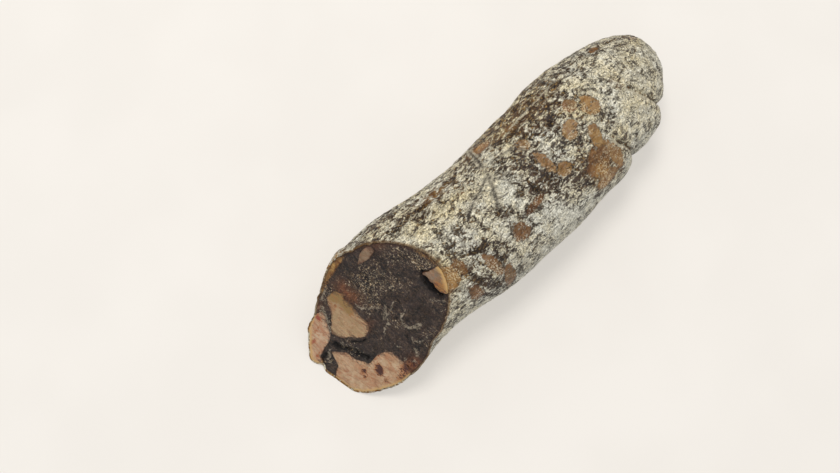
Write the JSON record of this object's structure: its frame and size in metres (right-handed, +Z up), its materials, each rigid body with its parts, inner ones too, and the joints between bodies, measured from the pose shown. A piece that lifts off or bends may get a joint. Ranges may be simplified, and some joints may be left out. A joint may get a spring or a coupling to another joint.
{
  "type": "cured sausage",
  "caption": "Length of coarse air-dried sausage in a wrinkled natural casing with a floury bloom, cut on the slant to show dark lean and pale fat.",
  "frame": {"origin": "on the ground under the middle of the bounding box", "axes": "+Y along the sausage from the slanted cut to the closed end, +Z up, +X to the right when looking along +Y"},
  "size_m": [0.0556, 0.1805, 0.046],
  "materials": {
    "casing": "satin",
    "lean": "satin",
    "fat_cream": "satin",
    "fat_pink": "satin",
    "fat_amber": "satin"
  },
  "bodies": {
    "root": {"casing": "casing", "lean_meat": "lean", "fat_centre": "fat_cream", "fat_left": "fat_pink", "fat_bottom": "fat_pink", "fat_top": "fat_cream", "fat_rim_lump": "fat_amber", "fat_spot": "fat_amber", "fat_fleck": "fat_amber", "fat_band": "fat_amber", "fat_shoulder": "fat_amber", "fat_ridge": "fat_amber", "fat_flank": "fat_amber", "fat_side": "fat_amber"}
  },
  "joints": []
}
